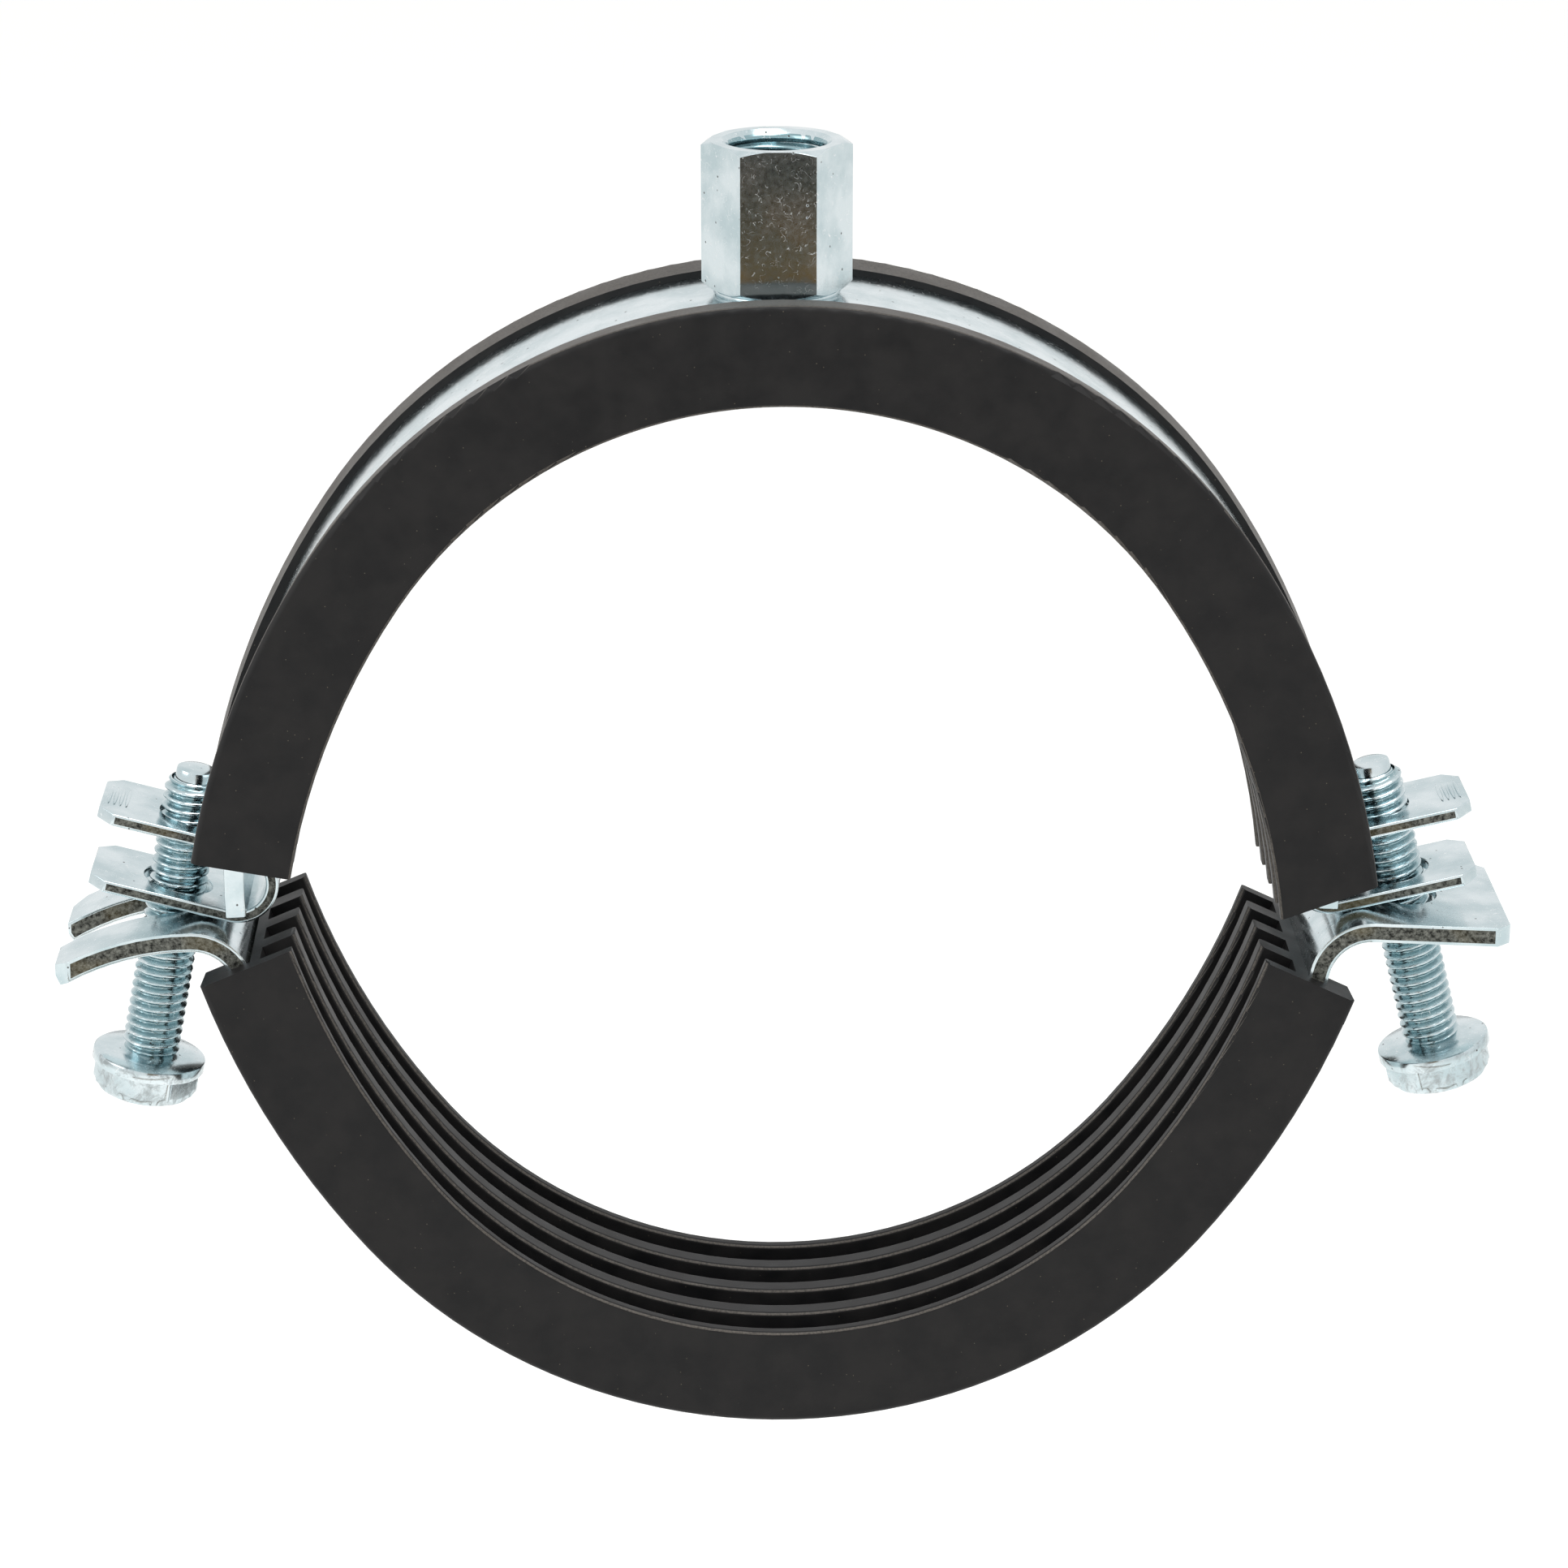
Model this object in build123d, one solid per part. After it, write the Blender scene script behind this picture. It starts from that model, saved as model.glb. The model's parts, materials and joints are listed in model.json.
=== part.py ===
from build123d import *
import math
import os

# Rubber lined two-part pipe clamp, in millimetres.
# The origin lies on the axis of the pipe, at the centre of the upper half's arc.
# +Y runs along the pipe, +Z towards the connection nut, +X to the side with the closed ear.

# Each half is a central arc that opens out into a flatter arc at either side
seat_r = 46.0              # fin tips on the central arc, for a 92 mm pipe
upper_arc_half = 56.0      # degrees of central arc each side of the top
upper_side_r = 74.5        # fin tips on the upper half's side arcs
lower_arc_half = 50.0      # degrees of central arc each side of the bottom
lower_side_r = 78.0        # fin tips on the lower half's side arcs
half_gap = 7.1             # lower arc's centre below the upper one's, with the clamp open

# Steel strip of the two bands, which closes in on the fins towards its ends
band_w = 20.0
band_t = 2.0
band_seat = 7.2            # fin tips to the strip, on the central arc
upper_draw_in = 13.5       # how much tighter the strip's side arcs are than the fin tips'
lower_draw_in = 17.0
ear_corner = 1.4           # 45 degree clipped corners of the ears

# Extruded rubber profile, outwards from the fin tips
lining_w = 23.75
lining_h = 10.2
fin_h = 3.6
flange_t = 1.5
rib_t = 2.4
rib_count = 3
tip_round = 0.45           # rounded tips of flanges and ribs
lip_round = 0.6            # rounded outer edges of the profile
lip_fall = 0.33            # the lips slope down to their inner edges
lip_nut_gap = 1.15         # free space between each lip and the connection nut

# Cut ends of the rubber: heights at the fin tips and at the lips
upper_left_cut = (-2.6, -0.8)
upper_right_cut = (-7.8, -4.3)
lower_left_cut = (-10.2, -14.2)
lower_right_cut = (-12.4, -16.8)

# Connection nut
nut_af = 13.0              # width across flats
nut_h = 14.7
nut_x = -0.4               # the nut sits a little off the middle
nut_thread_r = 4.25        # minor radius of the M10 thread
nut_sink_r = 5.5
nut_corner = 0.9           # turned corners at both ends, across and along the nut
nut_corner_h = 0.5
weld_r = 6.1               # ring of weld round the hole, outside and inside
weld_in_r = 5.2
weld_h = 0.3               # from the top of the band to the nut

# Folded nut clips, one at each side
clip_w = 11.0
clip_t = 1.25
clip_bend_r = 2.98         # inside of the bend
clip_leg = 15.4            # from the centre of the bend to the end of the upper leg
clip_lower_leg = 14.7
clip_corner = 1.6          # 45 degree clipped corners of the legs
left_clip_play = 0.1       # centre of the bend, outside the middle of the strip
right_clip_play = 0.8
clip_z = -5.3
left_leg_tilt = 15.0       # degrees, legs rise outwards
right_leg_tilt = 12.8
clip_thread_r = 3.05       # tapped hole of the upper leg, at the screw's crests
clip_hole_r = 3.6          # plain hole of the lower leg

# Window and cross bar at each end of the upper band, which hold the clips
bar_h = 4.1
window_side = 0.4          # free space each side of a clip in the steel and the rubber
bend_room = 0.6            # free space round a clip's bend in the rubber
window_over = 1.4          # free space over a clip's bend

# Ears of the lower band
ear_bend_r = 4.4           # inside of the bend that turns the band into the ear
ear_bend_z = -15.35
left_ear_arch_r = 27.0     # the left ear is arched, the right one is flat
right_ear_droop = 2.8      # degrees
left_ear_reach = 14.0      # from the top of the bend to the end of the ear
right_ear_reach = 14.0
ear_slot_w = 7.1           # open slot of the left ear
ear_hole_r = 3.7           # closed hole of the right ear

# Flange head screws, M6
left_screw_reach = 6.1     # centre of the bend to the screw, along the legs
right_screw_reach = 6.6
left_screw_tilt = 11.0
right_screw_tilt = 14.2
screw_r = 2.95
screw_len = 31.6           # under the flange
screw_tip_above = 9.4      # tip over the centre line of the legs, along the screw
pilot_r = 2.05
pilot_len = 1.3
collar_len = 1.4
collar_r = 3.3
flange_r = 5.85
flange_h = 1.5
hex_af = 9.6
head_h = 4.5
hex_corner = 0.9

# Values worked out from the sizes above
lip_edge = nut_af / 2 + lip_nut_gap
ear_mid_r = ear_bend_r + band_t / 2
clip_out_r = clip_bend_r + clip_t
far = 3 * seat_r

# Radius of the central arc, its half angle, radius of the side arcs, height of centre, up or down
upper_tips = (seat_r, upper_arc_half, upper_side_r, 0.0, 1)
lower_tips = (seat_r, lower_arc_half, lower_side_r, -half_gap, -1)
upper_steel = (seat_r + band_seat, upper_arc_half, upper_side_r - upper_draw_in, 0.0, 1)
lower_steel = (seat_r + band_seat, lower_arc_half, lower_side_r - lower_draw_in, -half_gap, -1)

# Side of the clamp, play of the clip on its bar, tilt of its legs, reach and tilt of the screw
places = {"left": (-1, left_clip_play, left_leg_tilt, left_screw_reach, left_screw_tilt),
          "right": (1, right_clip_play, right_leg_tilt, right_screw_reach, right_screw_tilt)}


def up(direction, angle):
    """A unit vector in the XZ plane, at an angle above +X or -X (direction 1 or -1)."""
    return Vector(direction * math.cos(math.radians(angle)), 0, math.sin(math.radians(angle)))


def side_arc(half, direction):
    """Centre of a half's left or right side arc."""
    radius, arc_half, side_r, centre_z, sense = half
    reach = side_r - radius
    return Vector(-direction * reach * math.sin(math.radians(arc_half)), 0,
                  centre_z - sense * reach * math.cos(math.radians(arc_half)))


def ring_x(half, offset, z, direction):
    """Where a side arc passes a height, at an offset outwards from the half's own arc."""
    centre = side_arc(half, direction)
    return centre.X + direction * math.sqrt((half[2] + offset) ** 2 - (z - centre.Z) ** 2)


def ring_path(half, offset, left_z, right_z):
    """Three tangent arcs of a half from end to end, with outwards on the left of the way."""
    radius, arc_half, side_r, centre_z, sense = half
    middle = Vector(0, 0, centre_z)
    joint = 90 - arc_half

    def end_arc(direction, end_z):
        centre = side_arc(half, direction)
        end = math.degrees(math.asin(sense * (end_z - centre.Z) / (side_r + offset)))
        angles = [sense * a for a in (end, (end + joint) / 2, joint)]
        return [centre + up(direction, a) * (side_r + offset) for a in angles]

    first, last = end_arc(-1, left_z), end_arc(1, right_z)[::-1]
    top = [first[-1], middle + Vector(0, 0, sense) * (radius + offset), last[0]]
    arcs = [first, top, last]
    if sense < 0:
        arcs = [arc[::-1] for arc in arcs[::-1]]
    return [Edge.make_three_point_arc(*arc) for arc in arcs]


def along(edges, section):
    """Sweep a section along edges: its x is the width of the clamp and its y points outwards."""
    path = Wire(edges)
    start = Plane(origin=path @ 0, x_dir=(0, 1, 0), z_dir=path % 0)
    return sweep(start * section, path=path)


def across_width(face, width):
    """Extrude a face drawn in the XZ plane to both sides."""
    return extrude(Plane.XZ * face, width / 2, both=True)


def clipped_plan(length, width, clip):
    """Plan of a free end: a rectangle from x = 0 with its two outer corners clipped."""
    half = width / 2
    outline = [(0, -half), (length - clip, -half), (length, clip - half), (length, half - clip),
               (length - clip, half), (0, half)]
    return make_face(Polyline(*outline, close=True))


def clip_frame(name):
    """Frame of a clip: origin at the centre of its bend, x along its legs, z upwards."""
    direction, play, tilt, _, _ = places[name]
    x = ring_x(upper_steel, band_t / 2, clip_z, direction) + direction * play
    return Plane(origin=(x, 0, clip_z), x_dir=up(direction, tilt), z_dir=up(direction, 90 + tilt))


def screw_frame(name):
    """Frame of a screw: origin between the clip's legs, z along the screw towards its tip."""
    direction, _, _, reach, tilt = places[name]
    foot = clip_frame(name).from_local_coords(Vector(reach, 0, 0))
    return Plane(origin=foot, x_dir=(0, 1, 0), z_dir=up(direction, 90 + tilt))


def lining_section():
    """Rubber profile: a flange at each side, ribs between them and a back that falls to the lips."""
    groove = (lining_w - 2 * flange_t - rib_count * rib_t) / (rib_count + 1)
    side, inner = lining_w / 2, lining_h - lip_fall
    outline = [(-side, 0), (side, 0), (side, lining_h), (lip_edge, inner), (-lip_edge, inner), (-side, lining_h)]
    body = make_face(Polyline(*outline, close=True))
    body = fillet(body.vertices().group_by(Axis.Y)[-1], lip_round)
    for i in range(rib_count + 1):
        x = (i - rib_count / 2) * (groove + rib_t)
        body -= Pos(x, fin_h / 2) * Rectangle(groove, fin_h)
    return fillet(body.vertices().group_by(Axis.Y)[0], tip_round)


def end_wedge(half, direction, heights):
    """Everything past a line from the fin tips to the lips, at one end of a half."""
    tip = Vector(ring_x(half, 0, heights[0], direction), heights[0])
    lip = Vector(ring_x(half, lining_h, heights[1], direction), heights[1])
    line = (lip - tip).normalized()
    inner, outer = tip - line * seat_r / 3, lip + line * seat_r / 3
    beyond = Vector(0, -half[-1] * far)
    return across_width(make_face(Polyline(inner, outer, outer + beyond, inner + beyond, close=True)), 2 * band_w)


def make_lining(tips, steel, left_cut, right_cut):
    """Profile bent round the fin tips' path, with a channel for the band and both ends trimmed."""
    past = -tips[-1] * fin_h
    left_end = -tips[-1] * max(-tips[-1] * z for z in left_cut) + past
    right_end = -tips[-1] * max(-tips[-1] * z for z in right_cut) + past
    lining = along(ring_path(tips, 0, left_end, right_end), lining_section())
    channel = Pos(0, band_t / 2) * Rectangle(band_w, band_t)
    channel += Pos(0, band_t / 2 + lining_h / 2) * Rectangle(2 * lip_edge, lining_h)
    lining -= along(ring_path(steel, 0, left_end + past, right_end + past), channel)
    lining -= end_wedge(tips, -1, left_cut)
    return lining - end_wedge(tips, 1, right_cut)


def make_upper_lining():
    """Upper rubber, relieved round the bend of each clip."""
    lining = make_lining(upper_tips, upper_steel, upper_left_cut, upper_right_cut)
    pocket = across_width(Circle(clip_out_r + bend_room), clip_w + 2 * window_side)
    for name in places:
        lining -= Pos(*clip_frame(name).origin) * pocket
    return lining


def make_upper_band():
    """Upper strip, with a window and a cross bar at each end for the clip."""
    end_z = clip_z - bar_h / 2
    band = along(ring_path(upper_steel, band_t / 2, end_z, end_z), Rectangle(band_w, band_t))
    low, high = clip_z + bar_h / 2, clip_z + clip_out_r + window_over
    return band - Pos(0, 0, (low + high) / 2) * Box(2 * far, clip_w + 2 * window_side, high - low)


def ear_edges(direction):
    """Middle line of an ear, from its free end to where its bend meets the ring, and its two ends."""
    ring_centre = side_arc(lower_steel, direction)
    ring_radius = lower_steel[2] + band_t / 2
    drop = ear_bend_z - ring_centre.Z
    reach = math.sqrt((ring_radius + ear_mid_r) ** 2 - drop**2)
    centre = ring_centre + Vector(direction * reach, 0, drop)
    meet = ring_centre + (centre - ring_centre).normalized() * ring_radius
    if direction < 0:
        crown = centre + Vector(0, 0, ear_mid_r)
        arch = crown - Vector(0, 0, left_ear_arch_r)
        end = math.degrees(math.acos(left_ear_reach / left_ear_arch_r))
        ear = Edge.make_three_point_arc(*[arch + up(-1, a) * left_ear_arch_r for a in (end, (end + 90) / 2, 90)])
    else:
        crown = centre + up(1, 90 - right_ear_droop) * ear_mid_r
        run = right_ear_reach / math.cos(math.radians(right_ear_droop))
        ear = Edge.make_line(crown + up(1, -right_ear_droop) * run, crown)
    halfway = centre + ((crown - centre) + (meet - centre)).normalized() * ear_mid_r
    return [ear, Edge.make_three_point_arc(crown, halfway, meet)], meet.Z, abs((ear @ 0).X)


def turned(edge):
    """The same edge, run the other way."""
    if edge.geom_type == GeomType.LINE:
        return Edge.make_line(edge @ 1, edge @ 0)
    return Edge.make_three_point_arc(edge @ 1, edge @ 0.5, edge @ 0)


def ear_hole(name):
    """Plan of the hole round a screw where it passes the ear, measured from the middle."""
    frame = screw_frame(name)
    rise = ear_bend_z + ear_mid_r - frame.origin.Z
    return frame.origin.X + frame.z_dir.X / frame.z_dir.Z * rise


def make_lower_band():
    """Lower strip, with an open fork as the left ear and a closed hole in the right ear."""
    right, right_z, right_x = ear_edges(1)
    left, left_z, left_x = ear_edges(-1)
    ring = ring_path(lower_steel, band_t / 2, left_z, right_z)
    band = along(right + ring + [turned(edge) for edge in left[::-1]], Rectangle(band_w, band_t))
    plan = clipped_plan(right_x, band_w, ear_corner)
    plan += Rot(0, 0, 180) * clipped_plan(left_x, band_w, ear_corner)
    plan -= Pos(ear_hole("right"), 0) * Circle(ear_hole_r)
    plan -= Pos(ear_hole("left"), 0) * Circle(ear_slot_w / 2)
    plan -= Pos(ear_hole("left") - far / 2, 0) * Rectangle(far, ear_slot_w)
    return band & extrude(plan, far, both=True)


def make_connection_nut(band):
    """Hexagon nut with a countersunk thread, standing on a ring of weld on top of the band."""
    corner_r = nut_af / math.sqrt(3)
    blank = Pos(0, 0, nut_h / 2) * Cylinder(corner_r, nut_h)
    rims, side = blank.edges().filter_by(GeomType.CIRCLE), blank.faces().filter_by(GeomType.CYLINDER)[0]
    blank = chamfer(rims, nut_corner_h, nut_corner, reference=side)
    body = (blank & extrude(RegularPolygon(corner_r, 6), nut_h)) - Cylinder(nut_thread_r, 2 * nut_h)
    sink = nut_sink_r - nut_thread_r
    body -= Pos(0, 0, nut_h - sink / 2) * Cone(nut_thread_r, nut_sink_r, sink)
    body += Pos(0, 0, -weld_h) * (Cylinder(weld_r, 2 * weld_h) - Cylinder(weld_in_r, 2 * weld_h))
    return Pos(nut_x, 0, seat_r + band_seat + band_t + weld_h) * body - band


def make_clip(name):
    """Sheet folded into a U round the cross bar: a tapped upper leg and a plain lower leg."""
    def leg_shape(radius, length):
        return Circle(radius) + Pos(length / 2, 0) * Rectangle(length, 2 * radius)

    def plan(length):
        return clipped_plan(length, clip_w, clip_corner) + Pos(-clip_out_r / 2, 0) * Rectangle(clip_out_r, clip_w)

    fold = leg_shape(clip_out_r, clip_leg) - leg_shape(clip_bend_r, clip_leg + clip_t)
    legs = extrude(plan(clip_leg), clip_out_r) + extrude(plan(clip_lower_leg), -clip_out_r)
    clip = clip_frame(name) * (across_width(fold, clip_w) & legs)
    screw = screw_frame(name)
    clip -= screw * Pos(0, 0, clip_out_r) * Cylinder(clip_thread_r, 2 * clip_out_r)
    return clip - screw * Pos(0, 0, -clip_out_r) * Cylinder(clip_hole_r, 2 * clip_out_r)


def make_screw(name):
    """Flange head screw, head downwards, with a plain pilot tip."""
    thread_len = screw_len - pilot_len - collar_len
    corner_r = hex_af / math.sqrt(3)
    hex_h = head_h - flange_h
    blank = Pos(0, 0, hex_h / 2) * Cylinder(corner_r, hex_h)
    head = chamfer(blank.edges().group_by(Axis.Z)[0], hex_corner) & extrude(RegularPolygon(corner_r, 6), hex_h)
    flange = Pos(0, 0, hex_h + flange_h / 2) * Cylinder(flange_r, flange_h)
    flange = chamfer(flange.edges().group_by(Axis.Z)[0], flange_h / 2)
    collar = Pos(0, 0, head_h + collar_len / 2) * Cylinder(collar_r, collar_len)
    shank = Pos(0, 0, head_h + collar_len + thread_len / 2) * Cylinder(screw_r, thread_len)
    shank = chamfer(shank.edges().group_by(Axis.Z)[-1], screw_r - pilot_r)
    pilot = Pos(0, 0, head_h + screw_len - pilot_len / 2) * Cylinder(pilot_r, pilot_len)
    pilot = chamfer(pilot.edges().group_by(Axis.Z)[-1], pilot_r / 6)
    screw = Pos(0, 0, screw_tip_above - screw_len - head_h) * (head + flange + collar + shank + pilot)
    return screw_frame(name) * Rot(0, 0, 90) * screw


upper_band = make_upper_band()
lower_band = make_lower_band()
nodes = {
    "upper_band": upper_band,
    "lower_band": lower_band,
    "upper_lining": make_upper_lining(),
    "lower_lining": make_lining(lower_tips, lower_steel, lower_left_cut, lower_right_cut) - lower_band,
    "connection_nut": make_connection_nut(upper_band),
}
for name in places:
    nodes[name + "_clip"] = make_clip(name)
    nodes[name + "_screw"] = make_screw(name)

os.makedirs("parts", exist_ok=True)
for name, shape in nodes.items():
    export_step(shape, "parts/" + name + ".step")
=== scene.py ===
# %% [markdown]
# # A rubber lined pipe clamp
# The clamp is two bent steel strips, each in a ribbed rubber profile. A nut is welded on top, and
# at either side a screw passes an ear of the lower strip into a folded clip on the upper strip.
# Its solids come from CAD in metres, with +Z up to the nut and +Y along the pipe, and this script
# gives them their finish: broken edges, threads, plating, cut rubber, light and a camera.

# %% Load the solids
import json
import math

import bmesh
import bpy
from mathutils import Matrix, Vector


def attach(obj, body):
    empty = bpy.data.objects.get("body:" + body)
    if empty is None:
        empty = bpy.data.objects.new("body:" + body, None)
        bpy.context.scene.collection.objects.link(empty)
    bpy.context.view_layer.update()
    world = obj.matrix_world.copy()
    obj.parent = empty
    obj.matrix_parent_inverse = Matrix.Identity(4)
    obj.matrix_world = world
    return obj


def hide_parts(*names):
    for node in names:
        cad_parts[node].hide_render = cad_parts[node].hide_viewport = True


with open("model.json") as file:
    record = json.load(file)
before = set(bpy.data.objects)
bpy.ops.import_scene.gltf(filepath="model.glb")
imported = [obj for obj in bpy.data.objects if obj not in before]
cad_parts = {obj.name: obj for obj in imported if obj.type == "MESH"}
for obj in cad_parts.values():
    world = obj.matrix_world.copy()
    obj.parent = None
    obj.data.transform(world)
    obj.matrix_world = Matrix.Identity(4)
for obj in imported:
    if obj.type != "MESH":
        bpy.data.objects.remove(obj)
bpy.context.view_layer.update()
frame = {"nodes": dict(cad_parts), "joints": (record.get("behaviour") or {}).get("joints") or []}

# %% [markdown]
# ## Two small helpers
# Colours are picked as sRGB hex values, but Blender's sockets want linear light, so one function
# turns them. Node trees are written in one style: a node, its settings, and what goes into each
# of its sockets: a number, a socket, or another node, which stands for its first output.

# %% Colour and node helpers
MM = 0.001


def linear(hex_colour):
    """An sRGB hex colour as linear RGBA."""
    levels = [int(hex_colour[i:i + 2], 16) / 255 for i in (1, 3, 5)]
    return [c / 12.92 if c <= 0.04045 else ((c + 0.055) / 1.055) ** 2.4 for c in levels] + [1.0]


def add(tree, kind, inputs=None, **settings):
    """Add a node with its settings, and link or set its inputs."""
    node = tree.nodes.new(kind)
    for name, value in settings.items():
        setattr(node, name, value)
    for socket, value in (inputs or {}).items():
        if isinstance(value, bpy.types.Node):
            value = value.outputs[0]
        if isinstance(value, bpy.types.NodeSocket):
            tree.links.new(value, node.inputs[socket])
        else:
            node.inputs[socket].default_value = value
    return node


# %% [markdown]
# ## Zinc plated steel
# The strips, clips, nut and screws are pressed or rolled low carbon steel with a thin bright
# zinc plating and a blue passivate. To the eye that is a bluish white metal, satin rather than
# mirror, with dark pinholes and fine curved handling scratches. A pinhole is a small round at
# the centre of a Voronoi cell, in some cells only. A scratch is where a noise crosses its middle
# value, which gives thin curved lines, and a second noise breaks them into short pieces.
#
# The patterns read the place in millimetres, so a pattern of scale 2 repeats about every half
# millimetre. The real grain of the zinc is too fine to show, and is drawn that coarse instead.

# %% Start of a material
A, B = 6, 7   # the two colour sockets of a Mix node
RESULT = 2    # its colour output


def new_material(name):
    """A material with its node tree and its Principled shader."""
    material = bpy.data.materials.new(name)
    material.use_nodes = True
    tree = material.node_tree
    return material, tree, tree.nodes["Principled BSDF"]


def in_millimetres(tree):
    """Object coordinates scaled so that one unit is a millimetre."""
    place = add(tree, "ShaderNodeTexCoord").outputs["Object"]
    return add(tree, "ShaderNodeMapping", {"Vector": place, "Scale": (1 / MM, 1 / MM, 1 / MM)})


# %% Pinholes and scratches


def pinholes(tree, mm):
    """1 in small round spots, about 1.2 mm apart where there are any."""
    cell = add(tree, "ShaderNodeTexVoronoi", {"Vector": mm, "Scale": 0.8})
    spot = add(tree, "ShaderNodeMapRange", {"Value": cell.outputs["Distance"],
                                            "From Min": 0.11, "From Max": 0.06})
    number = add(tree, "ShaderNodeSeparateColor", {0: cell.outputs["Color"]})
    few = add(tree, "ShaderNodeMapRange", {"Value": number, "From Min": 0.55, "From Max": 0.65})
    return add(tree, "ShaderNodeMath", {0: spot, 1: few}, operation="MULTIPLY")


def scratches(tree, mm):
    """1 along short thin curved lines."""
    noise = add(tree, "ShaderNodeTexNoise", {"Vector": mm, "Scale": 0.9, "Detail": 1.0, "Distortion": 1.5})
    offset = add(tree, "ShaderNodeMath", {0: noise, 1: 0.5}, operation="SUBTRACT")
    offset = add(tree, "ShaderNodeMath", {0: offset}, operation="ABSOLUTE")
    line = add(tree, "ShaderNodeMapRange", {"Value": offset, "From Min": 0.01, "From Max": 0.004})
    patches = add(tree, "ShaderNodeTexNoise", {"Vector": mm, "Scale": 1.3})
    broken = add(tree, "ShaderNodeMapRange", {"Value": patches, "From Min": 0.48, "From Max": 0.56})
    return add(tree, "ShaderNodeMath", {0: line, 1: broken}, operation="MULTIPLY")


# %% [markdown]
# The rest of the colour differs over a piece, and numbers on its faces say where. Down in the
# threads the colour is painted darker and bluer as shade, the more the deeper a face lies, and a
# number says how deep. On the screws' heads the die left grey marks: `struck`. Where the sheet was
# sheared, the torn edge is rough and dark grey between two bright burrs, and brownish in places: `sheared`.

# %% Colours of the plating and of the sheared edge


def plated_colour(tree, mm, pits, scratch):
    """Clouds 5 mm wide, then painted shade in the threads, bright scratches, grey die marks and dark
    pinholes.
    """
    cloud = add(tree, "ShaderNodeTexNoise", {"Vector": mm, "Scale": 0.2, "Detail": 4.0})
    cloudy = add(tree, "ShaderNodeMapRange", {"Value": cloud, "From Min": 0.38, "From Max": 0.62})
    plating = add(tree, "ShaderNodeMix", {0: cloudy, A: linear("#B9C9CD"), B: linear("#D5DFE2")},
                  data_type="RGBA")
    # painted shade: faces deep in a thread are drawn darker and bluer, as thread roots look in shade
    thread_root_shade = add(tree, "ShaderNodeAttribute", attribute_name="thread_root_shade").outputs["Fac"]
    root_shaded = add(tree, "ShaderNodeMix", {0: thread_root_shade, A: plating.outputs[RESULT], B: linear("#8FAAB0")},
               data_type="RGBA")
    scratched = add(tree, "ShaderNodeMix", {0: scratch, A: root_shaded.outputs[RESULT], B: linear("#E6EBEC")},
                    data_type="RGBA")
    die = add(tree, "ShaderNodeTexNoise", {"Vector": mm, "Scale": 0.6, "Detail": 6.0, "Roughness": 0.75,
                                           "Distortion": 0.5})
    struck = add(tree, "ShaderNodeAttribute", attribute_name="struck").outputs["Fac"]
    grey = add(tree, "ShaderNodeMapRange", {"Value": die, "From Min": 0.48, "From Max": 0.62})
    marks = add(tree, "ShaderNodeMath", {0: struck, 1: grey}, operation="MULTIPLY")
    marked = add(tree, "ShaderNodeMix", {0: marks, A: scratched.outputs[RESULT], B: linear("#A3ABAD")},
                 data_type="RGBA")
    return add(tree, "ShaderNodeMix", {0: pits, A: marked.outputs[RESULT], B: linear("#4C4A47")},
               data_type="RGBA").outputs[RESULT]


def sheared_colour(tree, mm, torn):
    """Dark grey torn metal with light speckles, and brownish stains about 9 mm apart."""
    speckle = add(tree, "ShaderNodeMapRange", {"Value": torn, "From Min": 0.4, "From Max": 0.66})
    grey = add(tree, "ShaderNodeMix", {0: speckle, A: linear("#272826"), B: linear("#8B8D86")},
               data_type="RGBA")
    tea = add(tree, "ShaderNodeTexNoise", {"Vector": mm, "Scale": 0.11, "Detail": 3.0})
    stain = add(tree, "ShaderNodeMapRange", {"Value": tea, "From Min": 0.54, "From Max": 0.68,
                                             "To Max": 0.35})
    return add(tree, "ShaderNodeMix", {0: stain, A: grey.outputs[RESULT], B: linear("#7D6E45")},
               data_type="RGBA").outputs[RESULT]


# %% Zinc plated steel


def make_zinc():
    """Satin metal that is duller in its scratches, and rough where it was sheared."""
    material, tree, shader = new_material("zinc_plated_steel")
    mm = in_millimetres(tree)
    pits, scratch = pinholes(tree, mm), scratches(tree, mm)
    grain = add(tree, "ShaderNodeTexNoise", {"Vector": mm, "Scale": 2.2, "Detail": 4.0})
    torn = add(tree, "ShaderNodeTexNoise", {"Vector": mm, "Scale": 1.9, "Detail": 6.0, "Roughness": 0.75})
    sheared = add(tree, "ShaderNodeAttribute", attribute_name="sheared").outputs["Fac"]
    colour = add(tree, "ShaderNodeMix", {0: sheared, A: plated_colour(tree, mm, pits, scratch),
                                         B: sheared_colour(tree, mm, torn)}, data_type="RGBA")
    tree.links.new(colour.outputs[RESULT], shader.inputs["Base Color"])

    satin = add(tree, "ShaderNodeMapRange", {"Value": grain, "From Min": 0.3, "From Max": 0.7,
                                             "To Min": 0.14, "To Max": 0.2})
    duller = add(tree, "ShaderNodeMapRange", {"Value": scratch, "To Max": 0.16})
    satin = add(tree, "ShaderNodeMath", {0: satin, 1: duller}, operation="ADD")
    rough = add(tree, "ShaderNodeMix", {"Factor": sheared, "A": satin, "B": 0.5})
    tree.links.new(rough.outputs[0], shader.inputs["Roughness"])

    height = add(tree, "ShaderNodeMix", {"Factor": sheared, "A": grain, "B": torn})
    relief = add(tree, "ShaderNodeMapRange", {"Value": sheared, "To Min": 0.02, "To Max": 1.2})
    height = add(tree, "ShaderNodeMath", {0: height, 1: relief}, operation="MULTIPLY")
    height = add(tree, "ShaderNodeMath", {0: height, 1: pits}, operation="SUBTRACT")
    bump = add(tree, "ShaderNodeBump", {"Height": height, "Strength": 0.5, "Distance": 0.08 * MM})
    tree.links.new(bump.outputs[0], shader.inputs["Normal"])
    shader.inputs["Metallic"].default_value = 1.0
    return material


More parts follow.
